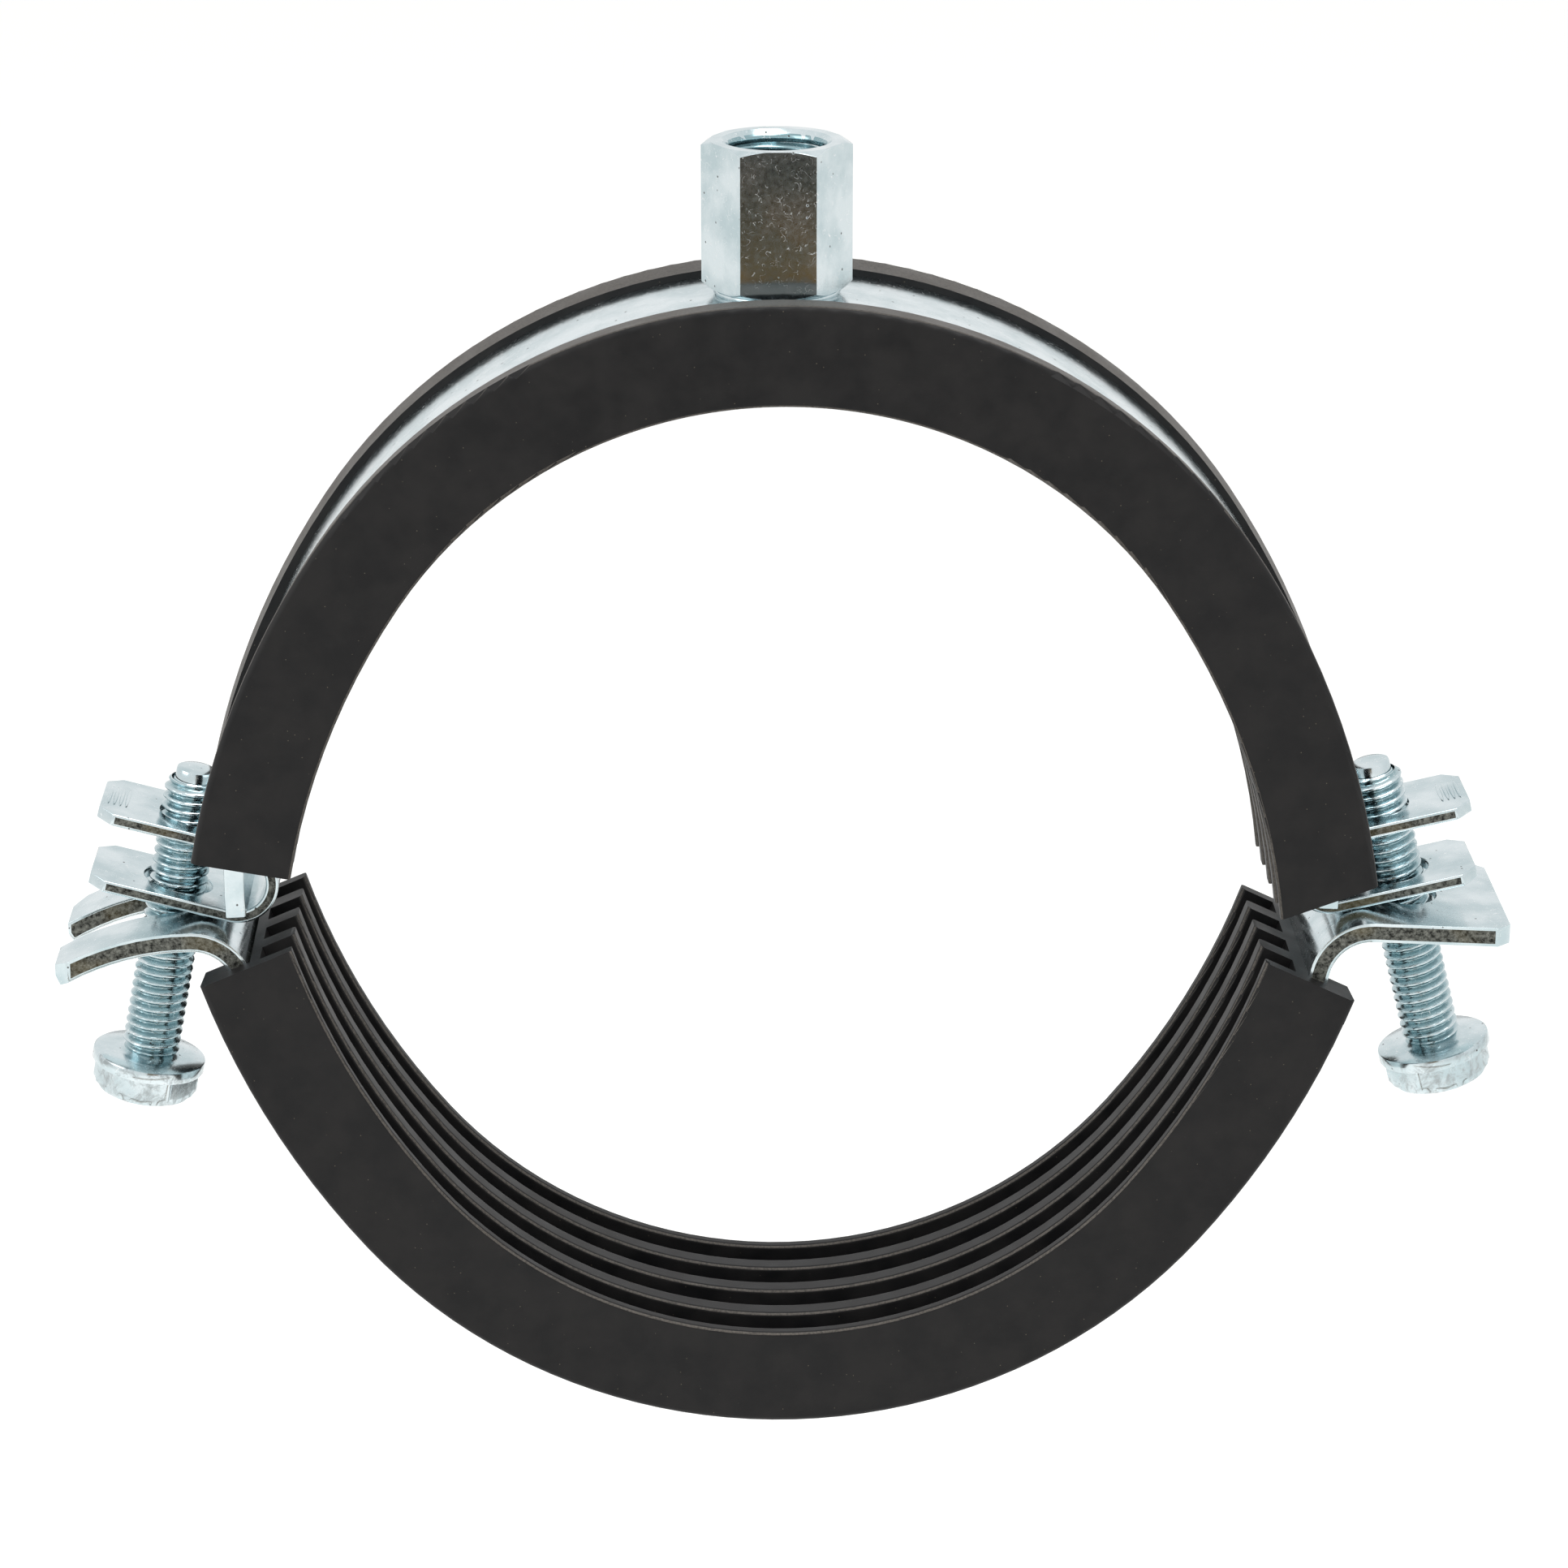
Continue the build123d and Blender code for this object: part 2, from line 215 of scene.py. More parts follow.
zinc = make_zinc()
print("made", zinc.name, "with", len(zinc.node_tree.nodes), "nodes")

# %% [markdown]
# ## Extruded EPDM rubber
# The lining is black EPDM, a synthetic rubber, pushed through a die and cut to length. It is matt
# and nearly black, with a fine grain and a few specks of dust. A light grey line on the fins' corners
# is partly rub wear and partly painted highlight, and the backs of the lips get a painted grey sheen.
# A number on each face says where.
# Its grain is drawn a quarter of a millimetre wide, coarser than the real one, so that it shows.

# %% Rubber


def make_rubber():
    """Nearly black and matt, with specks of dust, grey wear and painted highlight on the fins' corners, and
    painted sheen on the lips' backs.
    """
    material, tree, shader = new_material("epdm_rubber")
    mm = in_millimetres(tree)
    cloud = add(tree, "ShaderNodeTexNoise", {"Vector": mm, "Scale": 0.3, "Detail": 6.0})
    cloudy = add(tree, "ShaderNodeMapRange", {"Value": cloud, "From Min": 0.35, "From Max": 0.65})
    black = add(tree, "ShaderNodeMix", {0: cloudy, A: linear("#161617"), B: linear("#201F1F")},
                data_type="RGBA")
    grain = add(tree, "ShaderNodeTexNoise", {"Vector": mm, "Scale": 4.0, "Detail": 3.0})
    patchy = add(tree, "ShaderNodeMapRange", {"Value": grain, "From Min": 0.3, "From Max": 0.6,
                                              "To Min": 0.35, "To Max": 0.9})
    # this number marks rub wear and painted highlight on the fins' corners, and painted grey sheen on the
    # backs of the lips
    rub_and_sheen = add(tree, "ShaderNodeAttribute", attribute_name="rub_and_sheen").outputs["Fac"]
    rub_and_sheen_grey = add(tree, "ShaderNodeMath", {0: rub_and_sheen, 1: patchy}, operation="MULTIPLY")
    grey = add(tree, "ShaderNodeMix", {0: rub_and_sheen_grey, A: black.outputs[RESULT], B: linear("#625D57")},
               data_type="RGBA")

    cell = add(tree, "ShaderNodeTexVoronoi", {"Vector": mm, "Scale": 1.5})
    speck = add(tree, "ShaderNodeMapRange", {"Value": cell.outputs["Distance"],
                                             "From Min": 0.11, "From Max": 0.04, "To Max": 0.6})
    number = add(tree, "ShaderNodeSeparateColor", {0: cell.outputs["Color"]})
    few = add(tree, "ShaderNodeMapRange", {"Value": number, "From Min": 0.72, "From Max": 0.8})
    dust = add(tree, "ShaderNodeMath", {0: speck, 1: few}, operation="MULTIPLY")
    colour = add(tree, "ShaderNodeMix", {0: dust, A: grey.outputs[RESULT], B: linear("#736B5C")},
                 data_type="RGBA")
    tree.links.new(colour.outputs[RESULT], shader.inputs["Base Color"])

    rough = add(tree, "ShaderNodeMapRange", {"Value": cloud, "From Min": 0.3, "From Max": 0.7,
                                             "To Min": 0.42, "To Max": 0.54})
    tree.links.new(rough.outputs[0], shader.inputs["Roughness"])
    bump = add(tree, "ShaderNodeBump", {"Height": grain, "Strength": 0.3, "Distance": 0.03 * MM})
    tree.links.new(bump.outputs[0], shader.inputs["Normal"])
    shader.inputs["IOR"].default_value = 1.52
    shader.inputs["Specular IOR Level"].default_value = 0.22
    return material


rubber = make_rubber()
print("made", rubber.name, "with", len(rubber.node_tree.nodes), "nodes")

# %% [markdown]
# ## Broken edges on the pressed pieces
# No real edge is perfectly sharp: tumbling and plating round it, and the small round catches
# the light as a bright line. A copy of each solid is welded together, its flat faces are joined,
# and a Bevel modifier rounds what is still sharp. Weighted normals keep the flat faces flat.
# On sheet metal the faces that look along the pipe were sheared. Each is inset first: the rim
# stays a bright plated burr, and only the middle gets the number `sheared`. The tiniest edges
# are dropped before that, because an inset folds over on them.

# %% Copies with broken edges
SAME_POINT = 1e-7                 # m, corners nearer than this are one corner
SAME_PLANE = math.radians(0.02)   # faces that differ by less are one flat face
SHORTEST_EDGE = 0.02 * MM         # m, shorter ones are dropped before the inset
ALONG_PIPE = 0.98                 # a sheared face looks along the pipe at least this much
SHARP_EDGE = math.radians(28)     # edges sharper than this are broken


def copy_with_edges(node, name, width, segments=2, burr=0.0):
    """A plain copy of a solid with its sharp edges rounded, by a width in mm."""
    mesh = frame["nodes"][node].data.copy()
    mesh.materials.clear()
    bm = bmesh.new()
    bm.from_mesh(mesh)
    bmesh.ops.remove_doubles(bm, verts=bm.verts, dist=SAME_POINT)
    bmesh.ops.dissolve_limit(bm, angle_limit=SAME_PLANE, verts=bm.verts, edges=bm.edges)
    if burr:
        sheared = bm.faces.layers.float.new("sheared")
        bmesh.ops.dissolve_degenerate(bm, dist=SHORTEST_EDGE, edges=bm.edges)
        cut = [face for face in bm.faces if abs(face.normal.y) > ALONG_PIPE]
        bmesh.ops.inset_region(bm, faces=cut, thickness=burr * MM, use_even_offset=True)
        for face in cut:
            face[sheared] = 1.0
    for face in bm.faces:
        face.smooth = True
    bm.to_mesh(mesh)
    bm.free()
    piece = bpy.data.objects.new(name, mesh)
    bpy.context.scene.collection.objects.link(piece)
    bevel = piece.modifiers.new("broken edges", "BEVEL")
    bevel.width = width * MM
    bevel.segments = segments
    bevel.limit_method = "ANGLE"
    bevel.angle_limit = SHARP_EDGE
    piece.modifiers.new("flat faces stay flat", "WEIGHTED_NORMAL")
    return made_plain(piece)


def made_plain(piece):
    """Turn a piece with modifiers into a plain mesh."""
    bpy.context.view_layer.update()
    evaluated = piece.evaluated_get(bpy.context.evaluated_depsgraph_get())
    mesh = bpy.data.meshes.new_from_object(evaluated)
    piece.modifiers.clear()
    piece.data = mesh
    return piece


def mark_faces(piece, name, test):
    """Store a number on each face, from its centre in millimetres and its direction."""
    mesh = piece.data
    values = [float(test(face.center / MM, face.normal)) for face in mesh.polygons]
    mesh.attributes.new(name, "FLOAT", "FACE").data.foreach_set("value", values)
    print(piece.name, len(mesh.polygons), "faces,", name, sum(v > 0.5 for v in values))


def finish_piece(piece, material, body, slot, *nodes):
    """Give a piece its material and the body it moves with, and hide the solids it stands for."""
    piece.data.materials.clear()
    piece.data.materials.append(material)
    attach(piece, body)
    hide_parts(*nodes)


# %% [markdown]
# ## Bands
# The strips were slit from coil and their ends punched. The rolled faces stay bright. On the
# lower strip the sides show torn and dark; on the upper one they were tumbled bright again.

# %% Bands
for node, burr in (("upper_band", 0.0), ("lower_band", 0.3)):
    band = copy_with_edges(node, node + "_plated", width=0.16, burr=burr)
    finish_piece(band, zinc, node.replace("band", "half"), "zinc_steel", node)
    print(band.name, len(band.data.polygons), "faces")

# %% [markdown]
# ## Linings
# The fin tips are where the rubber rubs on the pipe. A fine light line runs along their rounded
# corners, faces that look both inwards and to the side: it is partly rub wear and partly a painted
# edge highlight. The backs of the lips get a painted grey sheen, lighter than the cut and moulded sides.

# %% Linings
CORNER_FROM, CORNER_TO = 0.5, 0.9   # a rounded corner looks along the pipe between these shares
LIP_BACK = 0.9                      # the back of a lip looks away from the axis more than this
# painted sheen: the backs of the lips are drawn grey at this share
LIP_SHEEN = 0.7                         # how grey it is there, where a fin's corner is 1


def rub_and_sheen_share(place, way):
    """1 on the corners of the fin tips, partly wear and partly painted highlight, and less on the backs of
    the lips, a painted sheen.
    """
    outwards = way.dot(Vector((place.x, 0, place.z)).normalized())
    if CORNER_FROM < abs(way.y) < CORNER_TO and outwards < 0:
        return 1.0
    return LIP_SHEEN if outwards > LIP_BACK else 0.0


for node in ("upper_lining", "lower_lining"):
    lining = copy_with_edges(node, node + "_extruded", width=0.12, segments=1)
    mark_faces(lining, "rub_and_sheen", rub_and_sheen_share)
    finish_piece(lining, rubber, node.replace("lining", "half"), "rubber", node)

# %% [markdown]
# ## Folded clips
# Each clip is a strip punched, tapped and folded round the cross bar. Its solid has the fold and
# the holes already, so it only needs its edges broken. It is thinner than the two bands, and its
# rounds and burr are a little smaller than theirs.

# %% Clips
for side in ("left", "right"):
    clip = copy_with_edges(side + "_clip", side + "_clip_plated", width=0.12, burr=0.26)
    finish_piece(clip, zinc, side + "_clip", "zinc_steel", side + "_clip")
    print(clip.name, len(clip.data.polygons), "faces")

# %% [markdown]
# ## Screw threads with Geometry Nodes
# A rolled thread is a ridge that follows a helix, so it is a rule and not a drawing. The tree
# bends a flat grid round into a tube, and moves each point out or in by where it is between two
# turns: the height over the pitch, less the share of a turn. At both ends the ridge fades out,
# as it does where the dies leave the shank. The same tree makes the nut's inner thread, with a
# ridge that points inwards and faces that look at the axis.

# %% Start of a tree
SOCKETS = {float: "NodeSocketFloat", int: "NodeSocketInt", bool: "NodeSocketBool"}


def new_tree(name, **sizes):
    """A Geometry Nodes tree with an input for each size and one for the material."""
    tree = bpy.data.node_groups.new(name, "GeometryNodeTree")
    for label, value in sizes.items():
        kind = SOCKETS[type(value)]
        tree.interface.new_socket(label, in_out="INPUT", socket_type=kind).default_value = value
    tree.interface.new_socket("material", in_out="INPUT", socket_type="NodeSocketMaterial")
    tree.interface.new_socket("Geometry", in_out="OUTPUT", socket_type="NodeSocketGeometry")
    return tree, tree.nodes.new("NodeGroupInput").outputs


# %% How far out a point of the thread lies


def thread_radius(tree, size, height, turn):
    """Root radius plus a ridge with rounded crests and roots, which fades out at both ends."""
    turns = add(tree, "ShaderNodeMath", {0: height, 1: size["pitch"]}, operation="DIVIDE")
    ahead = add(tree, "ShaderNodeMath", {0: turns, 1: turn}, operation="SUBTRACT")
    phase = add(tree, "ShaderNodeMath", {0: ahead}, operation="FRACT")
    twice = add(tree, "ShaderNodeMath", {0: phase, 1: 2.0}, operation="MULTIPLY")
    centred = add(tree, "ShaderNodeMath", {0: twice, 1: 1.0}, operation="SUBTRACT")
    from_crest = add(tree, "ShaderNodeMath", {0: centred}, operation="ABSOLUTE")
    tent = add(tree, "ShaderNodeMath", {0: 1.0, 1: from_crest}, operation="SUBTRACT")
    ridge = add(tree, "ShaderNodeMapRange", {"Value": tent, "From Min": 0.1, "From Max": 0.9},
                interpolation_type="SMOOTHSTEP")
    to_top = add(tree, "ShaderNodeMath", {0: size["length"], 1: height}, operation="SUBTRACT")
    to_end = add(tree, "ShaderNodeMath", {0: height, 1: to_top}, operation="MINIMUM")
    fade = add(tree, "ShaderNodeMapRange", {"Value": to_end, "From Max": size["run_out"]})
    share = add(tree, "ShaderNodeMath", {0: ridge, 1: fade}, operation="MULTIPLY")
    out = add(tree, "ShaderNodeMath", {0: share, 1: size["depth"]}, operation="MULTIPLY")
    return add(tree, "ShaderNodeMath", {0: size["root_radius"], 1: out}, operation="ADD")


# %% The thread tree
SEAM = 0.0005   # mm, the tube's first and last columns are closer than this and become one


def make_thread_tree():
    """A threaded tube from the origin upwards, in millimetres."""
    tree, size = new_tree("rolled thread", length=10.0, pitch=1.0, root_radius=2.4, depth=0.6, run_out=0.5,
                          rows=150, facets=49, inside=False)
    grid = add(tree, "GeometryNodeMeshGrid", {"Vertices X": size["facets"], "Vertices Y": size["rows"]})
    flat = add(tree, "ShaderNodeSeparateXYZ", {0: add(tree, "GeometryNodeInputPosition")})
    turn = add(tree, "ShaderNodeMath", {0: flat.outputs["X"], 1: 0.5}, operation="ADD")
    row = add(tree, "ShaderNodeMath", {0: flat.outputs["Y"], 1: 0.5}, operation="ADD")
    height = add(tree, "ShaderNodeMath", {0: row, 1: size["length"]}, operation="MULTIPLY")
    radius = thread_radius(tree, size, height, turn)
    angle = add(tree, "ShaderNodeMath", {0: turn, 1: math.tau}, operation="MULTIPLY")
    cosine = add(tree, "ShaderNodeMath", {0: angle}, operation="COSINE")
    sine = add(tree, "ShaderNodeMath", {0: angle}, operation="SINE")
    x = add(tree, "ShaderNodeMath", {0: radius, 1: cosine}, operation="MULTIPLY")
    y = add(tree, "ShaderNodeMath", {0: radius, 1: sine}, operation="MULTIPLY")
    place = add(tree, "ShaderNodeCombineXYZ", {0: x, 1: y, 2: height})
    tube = add(tree, "GeometryNodeSetPosition", {"Geometry": grid, "Position": place})
    tube = add(tree, "GeometryNodeMergeByDistance", {"Geometry": tube, "Distance": SEAM})
    turned = add(tree, "GeometryNodeFlipFaces", {"Mesh": tube})
    facing = add(tree, "GeometryNodeSwitch", {"Switch": size["inside"], "False": tube, "True": turned},
                 input_type="GEOMETRY")
    real = add(tree, "GeometryNodeRealizeInstances", {"Geometry": facing})
    done = add(tree, "GeometryNodeSetMaterial", {"Geometry": real, "Material": size["material"]})
    add(tree, "NodeGroupOutput", {"Geometry": done})
    return tree


thread_tree = make_thread_tree()
print("thread tree with", len(thread_tree.nodes), "nodes")

# %% Run a tree and keep its mesh


def grown(name, tree, **values):
    """Run a Geometry Nodes tree with named input values, and return its result as a mesh."""
    holder = bpy.data.objects.new(name, bpy.data.meshes.new(name))
    bpy.context.scene.collection.objects.link(holder)
    modifier = holder.modifiers.new(name, "NODES")
    modifier.node_group = tree
    for item in tree.interface.items_tree:
        if item.in_out == "INPUT" and item.name in values:
            modifier[item.identifier] = values[item.name]
    mesh = made_plain(holder).data
    bpy.data.objects.remove(holder)
    print(name, len(mesh.polygons), "faces")
    return mesh


# %% [markdown]
# ## Turned pieces
# A screw's head is a hexagon whose corners were pressed round. It is drawn like work on a lathe,
# with the rest of the screw: a profile is spun, and where a ring is marked as hexagonal, its
# radius is cut back to the flats. The round chamfer then cuts curves into the flats by itself.
# The same lathe makes the bead of weld under the nut, as a ring that closes on itself.

# %% Lathe
SMOOTH_UP_TO = math.radians(32)   # edges sharper than this stay sharp in the shading


def flats(angle, across, corner):
    """Distance from the axis to a hexagon with rounded corners, flats towards +Y and -Y."""
    wedge = (angle - math.pi / 2 + math.pi / 6) % (math.pi / 3) - math.pi / 6
    return min(across / 2 / math.cos(wedge), corner)


def lathe(profile, across=0.0, corner=0.0, tube=False, steps=180):
    """Spin (radius, height, hexagonal) rings; a tube joins its last ring to its first."""
    bm = bmesh.new()
    rings = []
    for radius, height, hexagonal in profile:
        angles = [math.tau * i / steps for i in range(steps)]
        radii = [min(radius, flats(a, across, corner)) if hexagonal else radius for a in angles]
        places = [(r * math.cos(a), r * math.sin(a), height) for r, a in zip(radii, angles)]
        rings.append([bm.verts.new(place) for place in places])
    pairs = list(zip(rings, rings[1:])) + ([(rings[-1], rings[0])] if tube else [])
    for low, high in pairs:
        for i in range(steps):
            j = (i + 1) % steps
            bm.faces.new((low[i], low[j], high[j], high[i]))
    if not tube:
        bm.faces.new(rings[0][::-1])
        bm.faces.new(rings[-1])
    bmesh.ops.recalc_face_normals(bm, faces=bm.faces)
    mesh = bpy.data.meshes.new("turned")
    bm.to_mesh(mesh)
    bm.free()
    return mesh


def one_piece(name, parts, place):
    """Join meshes drawn in millimetres, move them to their place in metres, and shade them."""
    bm = bmesh.new()
    for mesh, shift in parts:
        copy = mesh.copy()
        copy.transform(Matrix.Translation(shift))
        bm.from_mesh(copy)
        bpy.data.meshes.remove(copy)
    bmesh.ops.transform(bm, matrix=place @ Matrix.Scale(MM, 4), verts=bm.verts)
    for face in bm.faces:
        face.smooth = True
        face.material_index = 0
    mesh = bpy.data.meshes.new(name)
    bm.to_mesh(mesh)
    bm.free()
    mesh.set_sharp_from_angle(angle=SMOOTH_UP_TO)
    piece = bpy.data.objects.new(name, mesh)
    bpy.context.scene.collection.objects.link(piece)
    return piece


# %% [markdown]
# ## Side screws
# M6 screws with a hexagon head and a flange rolled on in one piece. The thread runs up to a
# small fillet at the flange, and a plain pilot tip finds the tapped hole.
# The axis and the point where it crosses the clip come from the joint that turns the screw.

# %% Screws
SCREW_UNDER_HEAD = 31.6                # mm, flange to tip
SCREW_HEAD = 4.5                       # mm, hexagon and flange
SCREW_TIP_ABOVE = 9.4                  # mm, tip over the joint's point
HEAD_ACROSS, HEAD_CORNER = 9.6, 5.42   # mm, hexagon across its flats, and radius of its corners
CREST, ROOT = 2.98, 2.42               # mm, radii of the M6 thread
THREAD_START = 4.7                     # mm, from the outer end of the head
PILOT = 1.4                            # mm, plain tip
FLANGE_TOP = 0.2                       # mm, the top of the flange, which the die doesn't mark

joints = {joint["name"]: joint for joint in frame["joints"]}
screw_profile = [   # the hexagon, the flange, the shank and the pilot tip, from the head's outer end
    (3.6, 0.0, False), (4.3, 0.05, False), (4.75, 0.2, False), (5.1, 0.45, True), (5.4, 0.85, True),
    (5.54, 1.2, True), (5.54, 2.78, True), (5.56, 2.94, True), (5.62, 3.02, False), (5.78, 3.08, False),
    (5.85, 3.22, False), (5.85, 4.05, False), (5.8, 4.22, False), (5.68, 4.3, False), (3.5, 4.48, False),
    (3.1, 4.56, False), (2.75, 4.75, False), (2.4, 4.95, False), (2.38, 34.55, False),
    (2.14, 34.75, False), (2.05, 34.85, False), (2.05, 35.75, False), (1.98, 35.96, False),
    (1.75, 36.08, False), (1.0, 36.1, False),
]
screw_blank = lathe(screw_profile, across=HEAD_ACROSS, corner=HEAD_CORNER)
screw_thread = grown("screw thread", thread_tree, length=30.1, pitch=1.0, root_radius=ROOT,
                     depth=CREST - ROOT, run_out=0.45, rows=420, facets=49, material=zinc)
for side in ("left", "right"):
    joint = joints[side + "_screw_turn"]
    up, pivot = -Vector(joint["axis"]), Vector(joint["pos_m"])
    turn = Matrix((Vector((0, 1, 0)).cross(up), (0, 1, 0), up)).transposed().to_4x4()
    foot = pivot + up * (SCREW_TIP_ABOVE - SCREW_UNDER_HEAD - SCREW_HEAD) * MM
    drawn = [(screw_blank, (0, 0, 0)), (screw_thread, (0, 0, THREAD_START))]
    screw = one_piece(side + "_screw_rolled", drawn, Matrix.Translation(foot) @ turn)

    def below_crest(place, way, up=up, pivot=pivot / MM):
        """0 on the crest of the thread, 1 at its root."""
        height = (place - pivot).dot(up)
        radius = (place - pivot).cross(up).length
        threaded = height < SCREW_TIP_ABOVE - PILOT and radius < CREST
        return min(1.0, (CREST - radius) / (CREST - ROOT)) if threaded else 0.0

    def on_the_head(place, way, up=up, pivot=pivot / MM):
        """1 on the hexagon and the flange."""
        return (place - pivot).dot(up) < SCREW_TIP_ABOVE - SCREW_UNDER_HEAD - FLANGE_TOP

    # painted shade: the deeper a face lies in the thread, the darker and bluer it is drawn
    mark_faces(screw, "thread_root_shade", below_crest)
    mark_faces(screw, "struck", on_the_head)
    finish_piece(screw, zinc, side + "_screw", "zinc_steel", side + "_screw")

# %% [markdown]
# ## Connection nut
# A 13 mm hexagon nut for an M10 rod, on a low bead of weld. The solid has the right outline, so
# a copy of it is kept. Only its plain bore is opened a little, to make room for a grown thread.

# %% Nut
NUT_FOOT = (-0.4, 0.0, 55.5)   # mm, underside of the nut
PLAIN_BORE = 4.5               # mm, what is nearer the axis is the plain bore
MOUTH = 5.0                    # mm, radius to which the plain bore is opened for the thread
THREAD_ROOT = 4.95             # mm, radius of the M10 thread's root
IN_THREAD = 4.9                # mm, faces nearer the axis are the thread
THREAD_UP = 0.05               # mm, start of the thread over the nut's underside

body = copy_with_edges("connection_nut", "nut body", width=0.1)
body.data.transform(Matrix.Translation(-Vector(NUT_FOOT)) @ Matrix.Scale(1 / MM, 4))
for vertex in body.data.vertices:
    if vertex.co.to_2d().length < PLAIN_BORE:
        vertex.co.xy *= MOUTH / vertex.co.to_2d().length
bead_profile = [   # the weld, from the nut's underside down and out
    (5.2, -0.75, False), (6.0, -0.75, False), (6.35, -0.45, False), (6.3, -0.15, False), (6.0, 0.02, False),
    (5.2, 0.02, False),
]
bead = lathe(bead_profile, tube=True)
nut_thread = grown("nut thread", thread_tree, length=13.4, pitch=1.5, root_radius=THREAD_ROOT, depth=-0.7,
                   run_out=0.5, rows=180, facets=73, inside=True, material=zinc)
drawn = [(body.data, (0, 0, 0)), (bead, (0, 0, 0)), (nut_thread, (0, 0, THREAD_UP))]
nut = one_piece("connection_nut_turned", drawn, Matrix.Translation(Vector(NUT_FOOT) * MM))
bpy.data.objects.remove(body)
nut.modifiers.new("flat faces stay flat", "WEIGHTED_NORMAL")
nut = made_plain(nut)
nut_axis = Vector(NUT_FOOT).to_2d()
# painted shade: the whole inner thread of the nut is drawn darker and bluer
mark_faces(nut, "thread_root_shade", lambda place, way: (place.to_2d() - nut_axis).length < IN_THREAD)
finish_piece(nut, zinc, "upper_half", "zinc_steel", "connection_nut")

# %% [markdown]
# ## Press ridges
# The tool that folds the clips leaves a few low ridges across the end of each upper leg. They
# repeat at one spacing, so a small tree sets a bar on each point of a line.

# %% Ridge tree


def make_ridge_tree():
    """A row of low bars, each a ball one millimetre wide that is scaled to the bar's size."""
    tree, size = new_tree("press ridges", spacing=0.6, length=5.5, width=0.4, height=0.4, count=4)
    step = add(tree, "ShaderNodeCombineXYZ", {0: size["spacing"]})
    line = add(tree, "GeometryNodeMeshLine", {"Count": size["count"], "Offset": step})
    ball = add(tree, "GeometryNodeMeshUVSphere", {"Segments": 16, "Rings": 12, "Radius": 0.5})
    shape = add(tree, "ShaderNodeCombineXYZ", {0: size["width"], 1: size["length"], 2: size["height"]})
    bars = add(tree, "GeometryNodeInstanceOnPoints", {"Points": line, "Instance": ball, "Scale": shape})
    real = add(tree, "GeometryNodeRealizeInstances", {"Geometry": bars})
    done = add(tree, "GeometryNodeSetMaterial", {"Geometry": real, "Material": size["material"]})
    add(tree, "NodeGroupOutput", {"Geometry": done})
    return tree


ridge_tree = make_ridge_tree()
print("ridge tree with", len(ridge_tree.nodes), "nodes")

# %% Ridges on the upper legs
FIRST_RIDGE = 12.8   # mm, from the centre of the bend along the leg
for side in ("left", "right"):
    pivot = Vector(joints[side + "_clip_tilt"]["pos_m"]) / MM
    along_leg = Vector(joints[side + "_screw_turn"]["pos_m"]) / MM - pivot
    along_leg.normalize()
    outward = Vector((-along_leg.z, 0, along_leg.x)) * math.copysign(1, along_leg.x)
    clip_corners = frame["nodes"][side + "_clip"].data.vertices
    leg_top = max((corner.co / MM - pivot).dot(outward) for corner in clip_corners)
    across = outward.cross(along_leg)
    place = Matrix((along_leg, across, outward)).transposed().to_4x4()
    place.translation = (pivot + along_leg * FIRST_RIDGE + outward * leg_top) * MM
    bars = grown(side + " ridges", ridge_tree, spacing=0.62, length=5.5, width=0.42, height=0.44,
                 count=4, material=zinc)
    ridges = one_piece(side + "_clip_ridges", [(bars, (0, 0, 0))], place)
    ridges.data.materials.clear()
    ridges.data.materials.append(zinc)
    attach(ridges, side + "_clip")

# %% [markdown]
# ## Floor and background
# The clamp hangs, so the floor is well below it and its shadow falls out of the picture. The
# floor is white card. A little glow that only the eye and reflections see lifts it to the white
# of the background, and leaves the shadow in it.

# %% Floor
FLOOR_HEIGHT = -0.30   # m
FLOOR_GLOW = 0.45      # strength of the glow


def seen_directly(tree):
    """1 for the camera and for reflections and refractions, 0 for the light that surfaces share."""
    path = add(tree, "ShaderNodeLightPath").outputs
    first = add(tree, "ShaderNodeMath", {0: path["Is Camera Ray"], 1: path["Is Glossy Ray"]},
                operation="MAXIMUM")
    return add(tree, "ShaderNodeMath", {0: first, 1: path["Is Transmission Ray"]}, operation="MAXIMUM")


card, tree, shader = new_material("white_card")
shader.inputs["Base Color"].default_value = linear("#E6E6E4")
shader.inputs["Roughness"].default_value = 0.9
shader.inputs["Emission Color"].default_value = linear("#FFFFFF")
glow = add(tree, "ShaderNodeMath", {0: seen_directly(tree), 1: FLOOR_GLOW}, operation="MULTIPLY")
tree.links.new(glow.outputs[0], shader.inputs["Emission Strength"])
bpy.ops.mesh.primitive_plane_add(size=12.0, location=(0, 0, FLOOR_HEIGHT))
floor = bpy.context.object
floor.name = "floor"
floor.data.materials.append(card)
print("floor at", FLOOR_HEIGHT, "m")

# %% [markdown]
# ## Light
# Bright metal shows what stands round it, so a studio for it is mostly large white surfaces and
# a few dark cards that draw the edges. The world is the white tent. It gives less light than it
# shows, so that shadows keep some depth. A wide soft lamp above gives direction, and a weaker
# one at the left lifts that side.

# %% World and lamps
TENT_LIGHT = 0.62   # strength of the tent's light; to the eye and in reflections it is 1

scene = bpy.context.scene
world = bpy.data.worlds.new("white tent")
scene.world = world
world.use_nodes = True
tree = world.node_tree
level = add(tree, "ShaderNodeMapRange", {"Value": seen_directly(tree), "To Min": TENT_LIGHT})
tree.links.new(level.outputs[0], tree.nodes["Background"].inputs["Strength"])
tree.nodes["Background"].inputs["Color"].default_value = linear("#FFFFFF")


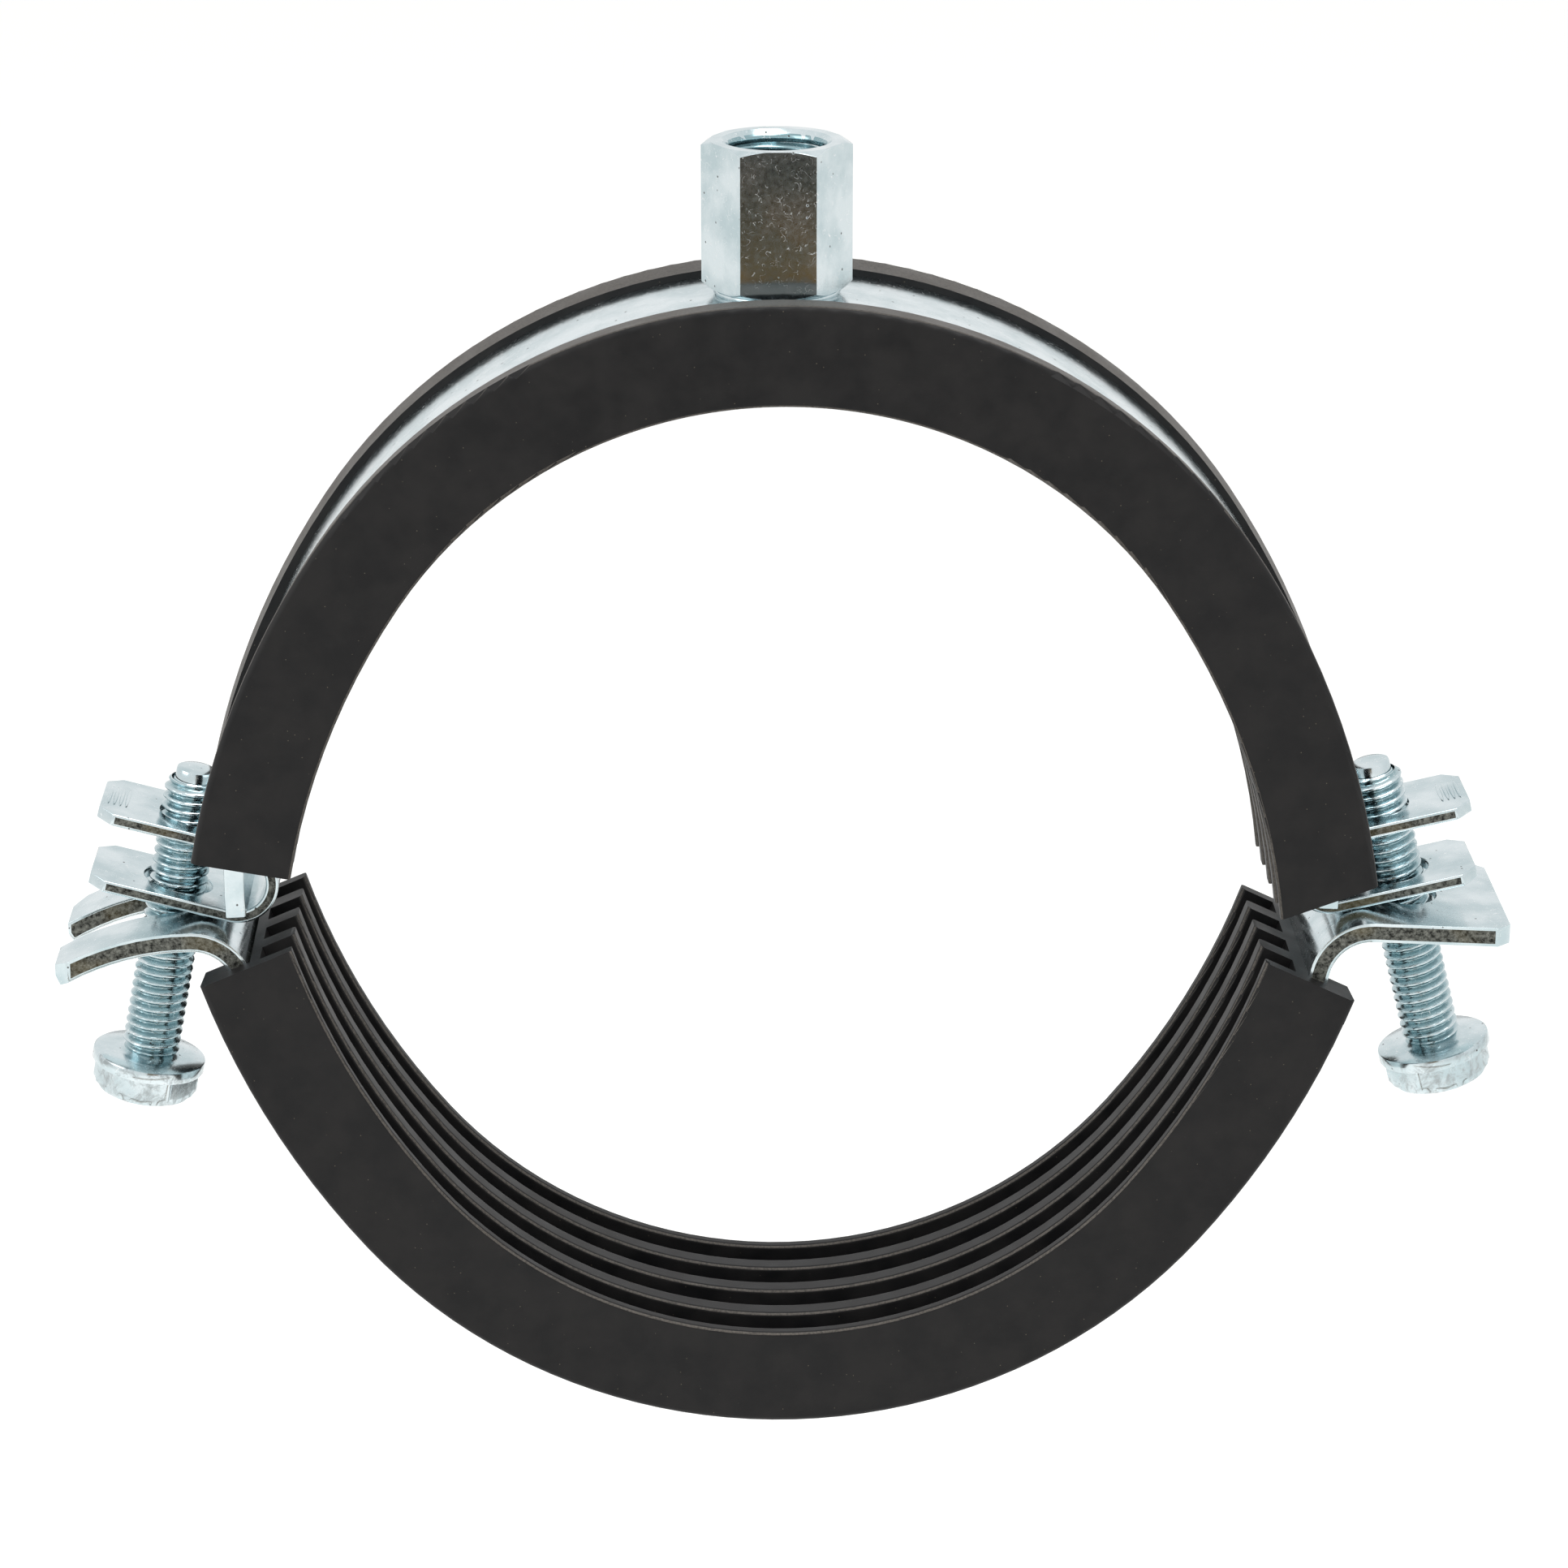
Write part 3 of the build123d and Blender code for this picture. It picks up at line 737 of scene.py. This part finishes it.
def soft_lamp(name, place, size, power):
    """A square area lamp that looks at the clamp."""
    lamp = bpy.data.lights.new(name, "AREA")
    lamp.size = size
    lamp.energy = power
    holder = bpy.data.objects.new(name, lamp)
    scene.collection.objects.link(holder)
    holder.location = place
    holder.rotation_euler = (-Vector(place)).to_track_quat("-Z", "Y").to_euler()


soft_lamp("overhead", (0.25, -0.35, 1.1), size=0.9, power=9.0)
soft_lamp("left window", (-1.0, -0.5, 0.5), size=0.8, power=4.0)
print("lamps:", sorted(lamp.name for lamp in bpy.data.lights))

# %% [markdown]
# The dark cards show only in reflections. The front flat of the nut mirrors the front one, and
# it is dark with a golden tint. So each card is golden in its lower part and dark above.

# %% Dark cards
GOLD_UP_TO, DARK_FROM = -0.06, 0.02   # share of the card's height, from its middle

dark, tree, shader = new_material("grey_card")
place = add(tree, "ShaderNodeTexCoord").outputs["Object"]
held_up = add(tree, "ShaderNodeSeparateXYZ", {0: place}).outputs["Y"]
upper = add(tree, "ShaderNodeMapRange", {"Value": held_up, "From Min": GOLD_UP_TO, "From Max": DARK_FROM})
tint = add(tree, "ShaderNodeMix", {0: upper, A: linear("#94723F"), B: linear("#2B2B2B")}, data_type="RGBA")
tree.links.new(tint.outputs[RESULT], shader.inputs["Base Color"])
shader.inputs["Roughness"].default_value = 1.0


def dark_card(name, place, width, height):
    """A card that faces the clamp and shows only in reflections."""
    bpy.ops.mesh.primitive_plane_add(size=1.0, location=place)
    held = bpy.context.object
    held.name = name
    held.scale = (width, height, 1)
    held.rotation_euler = (-Vector(place)).to_track_quat("Z", "Y").to_euler()
    held.data.materials.append(dark)
    held.visible_camera = False
    held.visible_diffuse = False
    held.visible_shadow = False


dark_card("front card", (0.005, -0.25, 0.008), width=0.1, height=0.11)
dark_card("low card", (0.0, -0.24, -0.165), width=0.42, height=0.025)

# %% [markdown]
# ## Camera
# The photograph was taken from half a metre through a long lens, from a little above.

# %% Camera
AIM = Vector((0.3, 0.0, 3.19)) * MM
DISTANCE = 0.52   # m
ELEVATION, AZIMUTH = math.radians(18.7), math.radians(-1.37)
FOCAL_LENGTH, SENSOR = 116.27, 36.0   # mm

along_floor = math.cos(ELEVATION)
back = Vector((math.sin(AZIMUTH) * along_floor, -math.cos(AZIMUTH) * along_floor, math.sin(ELEVATION)))
lens = bpy.data.cameras.new("photograph")
lens.lens = FOCAL_LENGTH
lens.sensor_width = SENSOR
camera = bpy.data.objects.new("photograph", lens)
scene.collection.objects.link(camera)
camera.location = AIM + back * DISTANCE
camera.rotation_euler = back.to_track_quat("Z", "Y").to_euler()
scene.camera = camera
scene.view_settings.view_transform = "Standard"
print("camera at", [round(part, 4) for part in camera.location])
